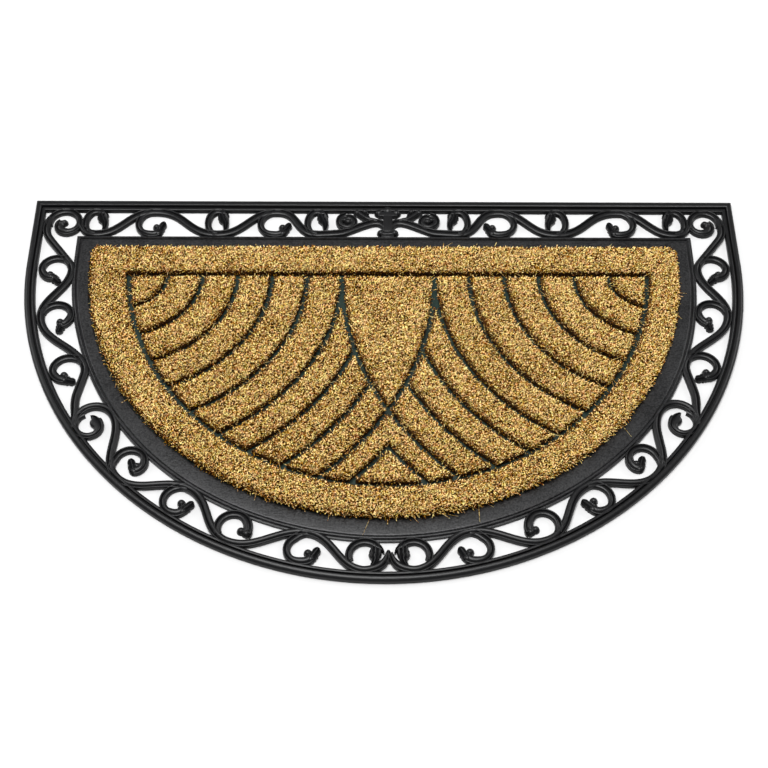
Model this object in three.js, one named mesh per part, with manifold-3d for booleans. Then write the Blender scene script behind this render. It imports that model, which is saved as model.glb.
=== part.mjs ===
// Half round doormat: coir pile set in a one-piece moulded rubber frame with an openwork scroll border.
// Millimetres, +Z up. The mat lies on z = 0, with its straight edge at +Y and its curved edge at -Y.

import * as THREE from 'three';
import { mergeVertices } from 'three/addons/utils/BufferGeometryUtils.js';
import Module from 'manifold-3d';

const wasm = await Module();
wasm.setup();

// Outline of the mat: a half circle with short straight sides above it.
const RADIUS = 381;
const STRAIGHT = 88;
const BACK = (RADIUS + STRAIGHT) / 2;
const CENTRE_Y = BACK - STRAIGHT;

// Rings of the frame. Outer and inner are distances in from the outline, top is a height, and round
// is the size of the rounded edge, in so many steps.
const RAIL_WIDTH = 11.3;
const RAIL_BASE_TOP = 3.8;
const WIDE_BEAD = { outer: 0, inner: 7.2, top: 6.5, round: 2, steps: 2 };
const NARROW_BEAD = { outer: 8.1, inner: 11.3, top: 5.2, round: 0.9, steps: 1 };
// Along the straight edge the rail and its beads are wider by this share.
const STRAIGHT_RAIL = 1.24;

const FLANGE_EDGE = 49.5;
const FLANGE_TOP = 4.6;
const FLANGE_BEAD = { outer: 50.5, inner: 54, top: 5.5, round: 0.9, steps: 1 };
const SHEET_TOP = 2.2;
const BEAD_ROOT = 0.6;

// Scroll work between the rail and the flange.
const SCROLL_TOP = 5.3;
const CURL_WIDTH = 6.9;
const CURL_CLOSING = 4;
const STEM_WIDTH = 8;
const BUD = 3.7;
const LEAF_HALF = 3.6;
const LEAF_PROFILE = [
  { at: 0, swell: 0.9 }, { at: 0.3, swell: 1 }, { at: 0.65, swell: 0.75 }, { at: 1, swell: 0.25 },
];

// Coir pile, set into the frame with a small gap, and the grooves that part it.
const PILE_EDGE = 69;
const PILE_TOP = 12.5;
const PILE_CORNER = 10;
const FIT = 0.3;
const GROOVE = 6;
const INLAY_RADIUS = 274.7;
const INLAY_DROP = 2.8;
const INLAY_TOP = BACK - 106;
const CORNER_X = 275.6;

// The inlay and the middle ornaments of the scroll work lie this far to the right of the outline's middle.
const SHIFT = 4;

// The right half of the scroll work is the left one mirrored, leant further to the right along the straight
// edge, and slid back round the curve, fully so from this far down.
const RIGHT_LEAN = 5;
const RIGHT_SLIDE = 6;
const SLIDE_FROM = 240;

// Radii of the circular grooves about each top corner of the inlay. The last is the petal's side.
const GROOVE_RADII = [42.9, 79.7, 117, 153.3, 190.4, 227.7, 259.9, 292.8, 325];
const CHEVRON_RADIUS = 350;

const ARC_STEPS = 30;
const TURN_STEP = 30;
const STRETCH = 8;

// Scrolls of the left half, from the middle of the straight edge round to the middle of the curve.
// x and down place the centre, down from the straight edge. wide and tall are half sizes of the curl's
// own line, start and sweep its angles in degrees, turning to the left when positive. end is the share
// of its size that a curl keeps at its end, and swell is how much wider its ribbon grows.
const SCROLLS = {
  rosette: { x: -43.6, down: 28, wide: 8.8, tall: 8.8, start: 100, sweep: 400, end: 0.45, swell: 0 },
  top_1: { x: -76, down: 30.5, wide: 10.3, tall: 16, start: 230, sweep: -288, end: 1, swell: 5.5 },
  top_2: { x: -118.3, down: 32, wide: 18.5, tall: 17, start: 140, sweep: 152, end: 0.85, swell: 2 },
  top_3: { x: -183, down: 30.5, wide: 10.3, tall: 16, start: 230, sweep: -288, end: 1, swell: 5.5 },
  top_4: { x: -250.4, down: 32, wide: 17.5, tall: 17, start: 140, sweep: 148, end: 0.85, swell: 2 },
  top_5: { x: -313.7, down: 30.5, wide: 11.3, tall: 16, start: 230, sweep: -288, end: 1, swell: 5.5 },
  corner: { x: -347, down: 32, wide: 17, tall: 17.5, start: 190, sweep: -380, end: 0.3, swell: 3 },
  side_1: { x: -349, down: 97, wide: 16.5, tall: 16.5, start: 70, sweep: 185, end: 0.65, swell: 2 },
  side_2: { x: -341.5, down: 159.5, wide: 16, tall: 16.5, start: 125, sweep: -182, end: 0.75, swell: 2 },
  side_3: { x: -322, down: 228.5, wide: 17, tall: 17, start: 75, sweep: 178, end: 0.7, swell: 2 },
  side_4: { x: -294.5, down: 293.5, wide: 14, tall: 14, start: 155, sweep: 290, end: 0.45, swell: 2.4 },
  side_5: { x: -249.5, down: 339.5, wide: 16, tall: 16.5, start: 160, sweep: -222, end: 0.6, swell: 2 },
  side_6: { x: -198.5, down: 382.5, wide: 17, tall: 17, start: 110, sweep: 176, end: 0.65, swell: 2 },
  side_7: { x: -146, down: 410.7, wide: 15.5, tall: 15.2, start: 165, sweep: -190, end: 0.92, swell: 2 },
  side_8: { x: -78, down: 434.5, wide: 17.5, tall: 15.5, start: 125, sweep: 172, end: 0.75, swell: 2 },
  side_9: { x: -22, down: 440.5, wide: 15, tall: 15, start: 200, sweep: -275, end: 1, swell: 4.5 },
};

// Tips of the curls: a bud and a leaf, as [angle, distance] from the centre. A curl with no row here closes
// to the point of a leaf itself.
const TIPS = {
  rosette: { bud: [20, 1] },
  top_2: { bud: [322, 6.5], leaf: [2, 13.5] },
  top_4: { bud: [297, 4.5], leaf: [11, 10.5] },
  corner: { bud: [120, 2] },
  side_1: { bud: [220, 7.8], leaf: [287, 18.5] },
  side_2: { bud: [306, 6.8], leaf: [280, 21] },
  side_3: { bud: [219, 7], leaf: [291, 15] },
  side_5: { bud: [343, 6.8], leaf: [96, 5.5] },
  side_6: { bud: [284, 4], leaf: [342, 12] },
  side_7: { bud: [322, 9], leaf: [336, 19] },
  side_8: { bud: [312, 5.5], leaf: [2, 12.5] },
};

// Stems of the left half, each a belt round the scrolls that it passes, on the rail's or the flange's
// side, at a radius, about a scroll's centre or one of their own. Free points are [x, down].
const STEMS = [
  [
    [0, 41], [-1.7, 36.5], [-5.5, 31.3], [-10.9, 28.6], [-17.1, 29.7], [-24.8, 32.7], [-40.3, 40.4], [-48, 44.5],
    { about: 'top_1', side: 'flange', radius: 16 }, { about: 'top_2', side: 'rail', radius: 17 },
    { about: 'top_3', side: 'flange', radius: 16 }, { about: 'top_4', side: 'rail', radius: 17 },
    { about: 'top_5', side: 'flange', radius: 16 }, [-331, 33],
  ],
  [
    [-364, 24],
    { x: -340, down: 38, side: 'rail', radius: 26 }, { about: 'side_1', side: 'flange', radius: 16.5 },
    { about: 'side_2', side: 'rail', radius: 16.5 }, { about: 'side_3', side: 'flange', radius: 17 },
    [-311.5, 262], [-310, 278], [-306, 291],
  ],
  [
    [-309.5, 295],
    { x: -289.5, down: 290, side: 'flange', radius: 19.5 }, { x: -247, down: 341, side: 'rail', radius: 20 },
    { about: 'side_6', side: 'flange', radius: 17 }, { about: 'side_7', side: 'rail', radius: 15.5 },
    { about: 'side_8', side: 'flange', radius: 19 }, { about: 'side_9', side: 'rail', radius: 15.5 },
    [-8, 452.5], [-3, 447], [0, 438],
  ],
];

// Middle ornament: blocks by half width, their reach down from the straight edge, and height.
const ORNAMENT = [
  { half: 13, from: 10, to: 24.5, top: 5.4 },
  { half: 4.5, from: 20, to: 44, top: 5.4 },
  { half: 10, from: 40.5, to: 47, top: 5.4 },
  { half: 7, from: 46, to: 51, top: 3.2 },
];
const ORNAMENT_DOME = { down: 12.5, radius: 6, top: 6.2 };
const ARM = {
  line: [[-12, 28], [-21.7, 25.1], [-27.1, 21.1], [-32.5, 15.9], [-36, 11.5]],
  width: 6.6,
  bud: { root: [-22, 24], point: [-25.2, 9], half: 3.3 },
};

const rubber = new THREE.MeshStandardMaterial({ color: 0x2b2b2d, roughness: 0.55, metalness: 0 });
const coir = new THREE.MeshStandardMaterial({ color: 0xb5873c, roughness: 0.95, metalness: 0 });

function toSolid(geometry) {
  geometry.deleteAttribute('normal');
  geometry.deleteAttribute('uv');
  const merged = mergeVertices(geometry, 1e-4);
  return new wasm.Manifold(new wasm.Mesh({
    numProp: 3,
    vertProperties: new Float32Array(merged.attributes.position.array),
    triVerts: new Uint32Array(merged.index.array),
  }));
}

function toMesh(solid, name, material) {
  const { vertProperties, triVerts } = solid.getMesh();
  const geometry = new THREE.BufferGeometry();
  geometry.setAttribute('position', new THREE.BufferAttribute(new Float32Array(vertProperties), 3));
  geometry.setIndex(new THREE.BufferAttribute(new Uint32Array(triVerts), 1));
  geometry.computeVertexNormals();
  const mesh = new THREE.Mesh(geometry, material);
  mesh.name = name;
  return mesh;
}

function joinAll(solids) {
  let rest = solids;
  while (rest.length > 1) {
    const pairs = [];
    for (let i = 0; i < rest.length; i += 2) {
      pairs.push(i + 1 < rest.length ? rest[i].add(rest[i + 1]) : rest[i]);
    }
    rest = pairs;
  }
  return rest[0];
}

// A flat shape raised from bottom to top, with its edges rounded where round is given.
function slab(shape, bottom, top, round = 0, steps = 1) {
  const geometry = new THREE.ExtrudeGeometry(shape, {
    depth: top - bottom - 2 * round,
    bevelEnabled: round > 0,
    bevelThickness: round,
    bevelSize: round,
    bevelOffset: -round,
    bevelSegments: steps,
    curveSegments: ARC_STEPS,
  });
  geometry.translate(0, 0, bottom + round);
  return toSolid(geometry);
}

// The mat's own D outline, set in by an even distance, or by its own distance at the straight edge, with its
// two back corners rounded if asked.
function dOutline(inset, corner = 0, Type = THREE.Shape, straightInset = inset) {
  const half = RADIUS - inset;
  const top = BACK - straightInset;
  const outline = new Type();
  outline.moveTo(half, CENTRE_Y);
  if (corner > 0) {
    outline.absarc(half - corner, top - corner, corner, 0, Math.PI / 2, false);
    outline.absarc(-half + corner, top - corner, corner, Math.PI / 2, Math.PI, false);
  } else {
    outline.lineTo(half, top);
    outline.lineTo(-half, top);
  }
  outline.lineTo(-half, CENTRE_Y);
  outline.absarc(0, CENTRE_Y, half, Math.PI, 2 * Math.PI, false);
  return outline;
}

function dRing({ outer, inner }, straight = 1) {
  const shape = dOutline(outer, 0, THREE.Shape, outer * straight);
  shape.holes.push(dOutline(inner, 0, THREE.Path, inner * straight));
  return shape;
}

function bead(size, straight = 1) {
  return slab(dRing(size, straight), BEAD_ROOT, size.top, size.round, size.steps);
}

function fromBack([x, down]) {
  return new THREE.Vector2(x, BACK - down);
}

function centreOf(row) {
  return fromBack([row.x, row.down]);
}

function aside(centre, degrees, wide, tall = wide) {
  const angle = THREE.MathUtils.degToRad(degrees);
  return new THREE.Vector2(centre.x + wide * Math.cos(angle), centre.y + tall * Math.sin(angle));
}

// A curl keeps its size at first and draws in towards its end. Where it swells, its outer side keeps to
// the curl's line.
function curlStations(row, tip) {
  const count = Math.ceil(Math.abs(row.sweep) / TURN_STEP);
  const stations = [];
  for (let i = 0; i <= count; i += 1) {
    const share = i / count;
    const close = tip ? 0 : THREE.MathUtils.smoothstep(share, 0.8, 1);
    const swell = row.swell * THREE.MathUtils.smoothstep(share, 0.5, 0.78);
    const width = CURL_WIDTH + swell * (1 - close) - CURL_CLOSING * close;
    const kept = 1 - (1 - row.end) * share ** 3;
    const drawnIn = (width - CURL_WIDTH) / 2;
    const wide = row.wide * kept - drawnIn;
    const tall = row.tall * kept - drawnIn;
    stations.push({ point: aside(centreOf(row), row.start + row.sweep * share, wide, tall), width });
  }
  return stations;
}

// A bud alone, or a bud and a leaf that branch from the curl's end.
function tipOutlines(row, tip) {
  const centre = centreOf(row);
  const bud = aside(centre, ...tip.bud);
  if (!tip.leaf) return [disc(bud, BUD)];
  const end = curlStations(row, tip).at(-1).point;
  return [disc(bud, BUD), leaf(end, bud, BUD), leaf(end, aside(centre, ...tip.leaf), LEAF_HALF)];
}

function disc(centre, radius) {
  const sides = 8;
  const points = [];
  for (let i = 0; i < sides; i += 1) {
    const angle = (2 * Math.PI * i) / sides;
    points.push(new THREE.Vector2(centre.x + radius * Math.cos(angle), centre.y + radius * Math.sin(angle)));
  }
  return points;
}

function leaf(root, point, half) {
  const line = point.clone().sub(root);
  const side = new THREE.Vector2(-line.y, line.x).normalize().multiplyScalar(half);
  const edge = (hand) => LEAF_PROFILE.map(({ at, swell }) => (
    root.clone().addScaledVector(line, at).addScaledVector(side, hand * swell)
  ));
  return [...edge(1), ...edge(-1).reverse()];
}

// A stem as a belt: straight runs that touch the circles it passes, and arcs round them. A stem that
// passes a scroll on the rail's side turns to the left round it, and to the right on the flange's side.
function stemStations(stem) {
  const stops = stem.map((stop) => {
    if (Array.isArray(stop)) return { centre: fromBack(stop), radius: 0, hand: 1 };
    const hand = stop.side === 'rail' ? 1 : -1;
    return { centre: centreOf(SCROLLS[stop.about] ?? stop), radius: stop.radius, hand };
  });
  const headings = stops.slice(1).map((stop, i) => {
    const run = stop.centre.clone().sub(stops[i].centre);
    const spread = stop.hand * stop.radius - stops[i].hand * stops[i].radius;
    return Math.atan2(run.y, run.x) - Math.asin(spread / run.length());
  });
  return stops.flatMap(({ centre, radius, hand }, i) => {
    const arriving = headings[Math.max(i - 1, 0)];
    const leaving = headings[Math.min(i, headings.length - 1)];
    const turn = radius > 0 ? THREE.MathUtils.euclideanModulo(hand * (leaving - arriving), 2 * Math.PI) : 0;
    const count = Math.ceil(THREE.MathUtils.radToDeg(turn) / TURN_STEP);
    return Array.from({ length: count + 1 }, (_, k) => {
      const heading = arriving + (count > 0 ? (hand * turn * k) / count : 0);
      const across = new THREE.Vector2(Math.sin(heading), -Math.cos(heading));
      return { point: centre.clone().addScaledVector(across, hand * radius), width: STEM_WIDTH };
    });
  });
}

// A ribbon along its stations, cut into overlapping stretches so that none crosses itself.
function ribbonOutlines(stations) {
  const edgePoint = (i, hand) => {
    const { point, width } = stations[i];
    const before = stations[Math.max(i - 1, 0)].point;
    const after = stations[Math.min(i + 1, stations.length - 1)].point;
    const side = new THREE.Vector2(before.y - after.y, after.x - before.x).normalize();
    return point.clone().addScaledVector(side, (hand * width) / 2);
  };
  const outlines = [];
  for (let first = 0; first < stations.length - 1; first += STRETCH) {
    const last = Math.min(first + STRETCH + 1, stations.length - 1);
    const left = [];
    const right = [];
    for (let i = first; i <= last; i += 1) {
      left.push(edgePoint(i, 1));
      right.unshift(edgePoint(i, -1));
    }
    outlines.push([...left, ...right]);
  }
  return outlines;
}

// Middle ornament of the straight edge: a head on the rail, a neck, and a foot on the flange's bead.
function ornament() {
  const block = ({ half, from, to, top }) => {
    const geometry = new THREE.BoxGeometry(2 * half, to - from, top);
    geometry.translate(SHIFT, BACK - (from + to) / 2, top / 2);
    return toSolid(geometry);
  };
  const dome = disc(fromBack([SHIFT, ORNAMENT_DOME.down]), ORNAMENT_DOME.radius);
  return [...ORNAMENT.map(block), slab(new THREE.Shape(dome), 0, ORNAMENT_DOME.top)];
}

// One arm and bud beside the ornament, on the left half.
function armOutlines() {
  const arm = ARM.line.map((place) => ({ point: fromBack(place), width: ARM.width }));
  return [...ribbonOutlines(arm), leaf(fromBack(ARM.bud.root), fromBack(ARM.bud.point), ARM.bud.half)];
}

// The left half's outlines, leant towards the ornament and mirrored for the right half, as raised solids.
function scrollWork() {
  const outlines = armOutlines();
  for (const [name, row] of Object.entries(SCROLLS)) {
    const tip = TIPS[name];
    outlines.push(...ribbonOutlines(curlStations(row, tip)));
    if (tip) outlines.push(...tipOutlines(row, tip));
  }
  for (const stem of STEMS) outlines.push(...ribbonOutlines(stemStations(stem)));
  return [1, -1].flatMap((hand) => outlines.map((outline) => raise(outline, hand)));
}

// Where a point of the left half's drawing lies in either half.
function settle({ x, y }, hand) {
  const away = Math.abs(x) / RADIUS;
  if (hand > 0) return new THREE.Vector2(x + SHIFT * (1 - away), y);
  const low = THREE.MathUtils.smoothstep(BACK - y, 0, SLIDE_FROM);
  const back = new THREE.Vector2(CENTRE_Y - y, -x).normalize();
  const place = new THREE.Vector2(-x + RIGHT_LEAN * (1 - away ** 3) * (1 - low), y);
  return place.addScaledVector(back, RIGHT_SLIDE * low);
}

function raise(outline, hand) {
  return slab(new THREE.Shape(outline.map((point) => settle(point, hand))), 0, SCROLL_TOP);
}

function rubberFrame() {
  const rail = slab(dRing({ outer: 0, inner: RAIL_WIDTH }, STRAIGHT_RAIL), 0, RAIL_BASE_TOP);
  const tray = slab(dOutline(FLANGE_EDGE), 0, FLANGE_TOP)
    .subtract(slab(dOutline(PILE_EDGE - FIT, PILE_CORNER), SHEET_TOP, FLANGE_TOP + 1));
  return joinAll([
    rail,
    bead(WIDE_BEAD, STRAIGHT_RAIL),
    bead(NARROW_BEAD, STRAIGHT_RAIL),
    tray,
    bead(FLANGE_BEAD),
    ...ornament(),
    ...scrollWork(),
  ]);
}

// The inlay's outline grown by an amount: a circle with its top cut straight.
function inlayOutline(grow, Type = THREE.Shape) {
  const radius = INLAY_RADIUS + grow;
  const top = INLAY_TOP + grow;
  const centreY = CENTRE_Y - INLAY_DROP;
  const dip = Math.asin((top - centreY) / radius);
  const outline = new Type();
  outline.absarc(SHIFT, centreY, radius, Math.PI - dip, 2 * Math.PI + dip, false);
  return outline;
}

function pile(shape) {
  return slab(shape, SHEET_TOP + FIT, PILE_TOP);
}

function coirBorder() {
  const shape = dOutline(PILE_EDGE, PILE_CORNER);
  shape.holes.push(inlayOutline(GROOVE / 2, THREE.Path));
  return pile(shape);
}

function circle(hand, radius) {
  const shape = new THREE.Shape();
  shape.absarc(SHIFT + hand * CORNER_X, INLAY_TOP, radius, 0, 2 * Math.PI, false);
  return slab(shape, 0, PILE_TOP + 1);
}

// All the inlays, by name, cut from one plate by the circular grooves about its two top corners.
function coirInlays() {
  const plate = pile(inlayOutline(-GROOVE / 2));
  const half = GROOVE / 2;
  const petalRadius = GROOVE_RADII.at(-1);
  const inlays = {};
  for (const [side, hand] of [['left', -1], ['right', 1]]) {
    const field = plate.subtract(circle(-hand, petalRadius + half));
    GROOVE_RADII.forEach((radius, index) => {
      let cell = field.intersect(circle(hand, radius - half));
      if (index > 0) cell = cell.subtract(circle(hand, GROOVE_RADII[index - 1] + half));
      inlays[`coir_${side}_${index + 1}`] = cell;
    });
  }
  const both = (radius) => [circle(-1, radius), circle(1, radius)];
  const outside = (solid, radius) => both(radius).reduce((rest, disk) => rest.subtract(disk), solid);
  inlays.coir_petal = both(petalRadius - half).reduce((rest, disk) => rest.intersect(disk), plate);
  const below = outside(plate, petalRadius + half);
  inlays.coir_foot = outside(below, CHEVRON_RADIUS + half);
  inlays.coir_chevron = below.subtract(outside(below, CHEVRON_RADIUS - half));
  return inlays;
}

const doormat = new THREE.Group();
doormat.add(toMesh(rubberFrame(), 'rubber_frame', rubber));
doormat.add(toMesh(coirBorder(), 'coir_border', coir));
for (const [name, solid] of Object.entries(coirInlays())) {
  doormat.add(toMesh(solid, name, coir));
}

export default doormat;
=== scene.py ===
"""Half round doormat: the finished surfaces of its moulded rubber frame and of its coir pile.

Metres, +Z up. The mat lies on z = 0, with its straight edge at +Y and its curved edge at -Y.
The sizes in the tables below are millimetres, measured down from the straight edge where they say so.
"""

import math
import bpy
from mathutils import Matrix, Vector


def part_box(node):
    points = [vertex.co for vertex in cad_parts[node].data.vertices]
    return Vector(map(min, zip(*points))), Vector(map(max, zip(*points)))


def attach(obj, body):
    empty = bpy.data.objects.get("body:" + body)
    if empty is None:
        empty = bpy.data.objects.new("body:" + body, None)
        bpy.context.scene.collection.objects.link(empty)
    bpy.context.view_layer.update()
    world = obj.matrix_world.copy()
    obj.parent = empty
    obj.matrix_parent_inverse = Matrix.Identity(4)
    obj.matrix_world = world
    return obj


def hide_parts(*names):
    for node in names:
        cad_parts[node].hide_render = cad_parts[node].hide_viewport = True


bl_info = {
    "name": "Half Round Doormat",
    "version": (1, 0, 0),
    "blender": (4, 5, 0),
    "location": "View3D > Sidebar > Doormat",
    "description": "Rubber frame with scroll work, coir pads and fibres of a half round doormat",
    "category": "Object",
}

import bmesh
import bpy
import numpy as np
from mathutils import Matrix, Vector
from mathutils.geometry import interpolate_bezier
from mathutils.kdtree import KDTree

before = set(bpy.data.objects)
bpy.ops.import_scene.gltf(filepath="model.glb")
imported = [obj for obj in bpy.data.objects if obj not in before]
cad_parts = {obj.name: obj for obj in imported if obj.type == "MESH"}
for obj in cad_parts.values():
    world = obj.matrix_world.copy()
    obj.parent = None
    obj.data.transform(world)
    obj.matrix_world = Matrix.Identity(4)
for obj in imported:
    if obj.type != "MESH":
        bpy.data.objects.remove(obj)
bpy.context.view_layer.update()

MM = 0.001
FRAME_LOW, FRAME_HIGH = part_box("rubber_frame")
RADIUS = round(FRAME_HIGH.x / MM, 3)
BACK = round(FRAME_HIGH.y / MM, 3)
CENTRE_Y = round((FRAME_LOW.y / MM) + RADIUS, 3)
PILE_TOP = round(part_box("coir_border")[1].z / MM, 3)

# The inlay and the middle ornaments lie this far to the right of the outline's middle. The right half of the
# scroll work is the left one mirrored, leant further to the right, and slid back round the curve.
SHIFT = 4.0
RIGHT_LEAN = 5.0
RIGHT_SLIDE = 6.0
SLIDE_FROM = 240.0

# Cross sections as (distance in from the outline, height). The rail is wider along the straight edge.
STRAIGHT_RAIL = 1.24
RAIL_SECTION = [
    (0, 0), (0, 3.4), (0.2, 4.4), (0.6, 5.1), (1.2, 5.6), (1.9, 6.05), (2.5, 6.33), (3.1, 6.5), (4.1, 6.6),
    (5.1, 6.6), (5.7, 6.3), (6.2, 5.4), (6.5, 4.0), (6.8, 2.2), (7.6, 2.2), (7.7, 4.0), (7.9, 4.7), (8.3, 5.05),
    (10.2, 5.15), (10.8, 4.7), (11.3, 3.7), (11.6, 0),
]
TRAY_SECTION = [
    (49.5, 0), (49.5, 2.7), (49.6, 3.2), (49.9, 3.3), (51.2, 3.3), (51.4, 3.6), (51.6, 4.8), (51.9, 5.4),
    (52.5, 5.7), (53.2, 5.65), (53.7, 5.1), (54.0, 4.0), (54.3, 3.3), (54.9, 3.3), (55.3, 4.1), (56.0, 4.5),
    (57.0, 4.6), (66.0, 4.6), (66.7, 4.55), (67.2, 4.2), (67.5, 3.4), (67.6, 2.2),
]
# Corners further in than this are rounded. The pile's outer rim lies less far in than OUTER_RIM.
SHARP_INSET = 55.0
PILE_CORNER = 10.0
OUTER_RIM = SHARP_INSET + 20
# The flange's outer edge, from the scroll work to the foot of its bead, is not quite in line with the outline:
# it reaches this much further out in front.
FLANGE_REACH = 6.0
SCROLL_BAND = 20.0
FLANGE_TURN = 57.5
# Raised forms start this far above the underside, so that no two faces coincide there.
BASE = 0.05

# A scroll ribbon's section from its beaded edge across, as shares of its half width and of its height: a
# narrow bead, a groove, and a broad rounded body.
RIBBON_SECTION = [
    (1.0, 0.0), (1.0, 0.8), (0.96, 0.92), (0.86, 1.0), (0.7, 1.0), (0.57, 0.9), (0.48, 0.7), (0.4, 0.62),
    (0.31, 0.7), (0.16, 0.85), (-0.1, 0.94), (-0.4, 0.96), (-0.7, 0.9), (-0.9, 0.78), (-1.0, 0.6), (-1.0, 0.0),
]
# A leaf's section: a rib along its middle, hollows beside it, and raised edges.
LEAF_SECTION = [
    (1.0, 0.0), (1.0, 0.55), (0.93, 0.78), (0.8, 0.9), (0.66, 0.86), (0.5, 0.66), (0.36, 0.6), (0.22, 0.78),
    (0.08, 0.98), (-0.08, 0.98), (-0.22, 0.78), (-0.36, 0.6), (-0.5, 0.66), (-0.66, 0.86), (-0.8, 0.9),
    (-0.93, 0.78), (-1.0, 0.55), (-1.0, 0.0),
]

# Curls of the left half: centre as x and distance down from the straight edge, half sizes, start and
# sweep in degrees, share of its size kept at the end, and how much wider the ribbon grows. A curl with a tuck
# ends in a broad drooping leaf, drawn in towards its centre by that share.
CURLS = {
    "rosette": dict(x=-43.6, down=28, wide=8.8, tall=8.8, start=100, sweep=400, end=0.45, swell=0),
    "top_1": dict(x=-76, down=30.5, wide=10.3, tall=16, start=230, sweep=-288, end=1, swell=5.5, tuck=0.08),
    "top_2": dict(x=-118.3, down=32, wide=18.5, tall=17, start=140, sweep=152, end=0.85, swell=2),
    "top_3": dict(x=-183, down=30.5, wide=10.3, tall=16, start=230, sweep=-288, end=1, swell=5.5, tuck=0.08),
    "top_4": dict(x=-250.4, down=32, wide=17.5, tall=17, start=140, sweep=148, end=0.85, swell=2),
    "top_5": dict(x=-313.7, down=30.5, wide=11.3, tall=16, start=230, sweep=-288, end=1, swell=5.5, tuck=0.08),
    "corner": dict(x=-347, down=32, wide=17, tall=17.5, start=190, sweep=-380, end=0.3, swell=3),
    "side_1": dict(x=-349, down=97, wide=16.5, tall=16.5, start=70, sweep=185, end=0.65, swell=2),
    "side_2": dict(x=-341.5, down=159.5, wide=16, tall=16.5, start=125, sweep=-182, end=0.75, swell=2),
    "side_3": dict(x=-322, down=228.5, wide=17, tall=17, start=75, sweep=178, end=0.7, swell=2),
    "side_4": dict(x=-294.5, down=293.5, wide=14, tall=14, start=155, sweep=290, end=0.45, swell=5.5),
    "side_5": dict(x=-249.5, down=339.5, wide=16, tall=16.5, start=160, sweep=-222, end=0.6, swell=2, out=3),
    "side_6": dict(x=-198.5, down=382.5, wide=17, tall=17, start=110, sweep=176, end=0.65, swell=2),
    "side_7": dict(x=-146, down=410.7, wide=15.5, tall=15.2, start=165, sweep=-190, end=0.92, swell=2),
    "side_8": dict(x=-78, down=434.5, wide=17.5, tall=15.5, start=125, sweep=172, end=0.75, swell=2, out=3),
    "side_9": dict(x=-22, down=440.5, wide=15, tall=15, start=200, sweep=-275, end=1, swell=6, tuck=0.24),
}

# Each curl leaves its stem this many degrees before its own start, so that the two grow out of each other, and
# begins "out" further out where its stem runs in a wider bend. The free curls do without.
CURL_LEAD = 40.0
FREE_CURLS = ("rosette", "corner", "side_9")

# Buds and leaves of the curls, as (angle, distance) from the centre. A curl that has none closes to a point.
TIPS = {
    "rosette": dict(bud=(20, 1)),
    "top_2": dict(bud=(322, 6.5), leaf=(2, 13.5)),
    "top_4": dict(bud=(297, 4.5), leaf=(11, 10.5)),
    "corner": dict(bud=(120, 2)),
    "side_1": dict(bud=(220, 7.8), leaf=(287, 18.5)),
    "side_2": dict(bud=(306, 6.8), leaf=(280, 21)),
    "side_3": dict(bud=(228, 5.8), leaf=(303, 16)),
    "side_5": dict(bud=(343, 6.8), leaf=(96, 5.5)),
    "side_6": dict(bud=(330, 1.5), leaf=(358, 13)),
    "side_7": dict(bud=(336, 7.8), leaf=(338, 19)),
    "side_8": dict(bud=(314, 4), leaf=(8, 13)),
}

# Stems as belts round circles: (x, down, radius, side), and free points as (x, down).
STEMS = [
    [(0, 41), (-1.7, 36.5), (-5.5, 31.3), (-10.9, 28.6), (-17.1, 29.7), (-24.8, 32.7), (-40.3, 40.4),
     (-48, 44.5), (-76, 30.5, 16, "flange"), (-118.3, 32, 17, "rail"),
     (-183, 30.5, 16, "flange"), (-250.4, 32, 17, "rail"), (-313.7, 30.5, 16, "flange"), (-331, 33)],
    [(-364, 24), (-340, 38, 26, "rail"), (-349, 97, 16.5, "flange"), (-341.5, 159.5, 16.5, "rail"),
     (-322, 228.5, 17, "flange"), (-311.5, 262), (-310.5, 276), (-310.5, 288)],
    [(-308.5, 297), (-289.5, 290, 19.5, "flange"), (-247, 341, 20, "rail"), (-198.5, 382.5, 17, "flange"),
     (-146, 410.7, 15.5, "rail"), (-78, 434.5, 19, "flange"), (-22, 440.5, 15.5, "rail"),
     (-8, 452.5), (-3, 447), (0, 438)],
]
# Between two curls a stem swings from crest to crest, with handles of this share of the run. A circle wider than
# a curl is the bend at a corner, and the stem runs straight from it.
SWING_STRAIGHT, SWING_ROUND = 0.45, 0.38
STRAIGHT_BAND = 40.0
WIDEST_CURL = 25.0
# The arm that ends in two buds beside the middle ornament.
ARM = [(-12, 28), (-21.7, 25.1), (-27.1, 21.1), (-31, 17.5), (-33.2, 15)]
ARM_BUD = [(-22, 24), (-25.2, 11.8)]

# Widths of the pads that are even bands. The others fill most of their box.
CELL_BANDS = {2: 30.8, 3: 31.3, 4: 30.3, 5: 31.1, 6: 31.3, 7: 26.2, 8: 26.9, 9: 26.2}
BANDS = {"coir_border": 34.3, "coir_chevron": 19.0}
BANDS.update({f"coir_{side}_{i}": wide for side in ("left", "right") for i, wide in CELL_BANDS.items()})

# Fibres this near to a pad's rim lean less, sink, and are darkened as painted shade. A few strays lean far, are pale
# and thin.
RIM_WIDTH = 4.5
STRAY_SHARE = 0.008
# Usual tone of a fibre's tip from 0 to 1, its spread, and how much darker the root is, for dust and for painted shade
# deep in the pile.
TONE, TONE_SPREAD, ROOT_DUST_AND_PAINTED_SHADE = 0.86, 0.3, 0.7
FLOOR_GREY = 0.59


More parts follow.
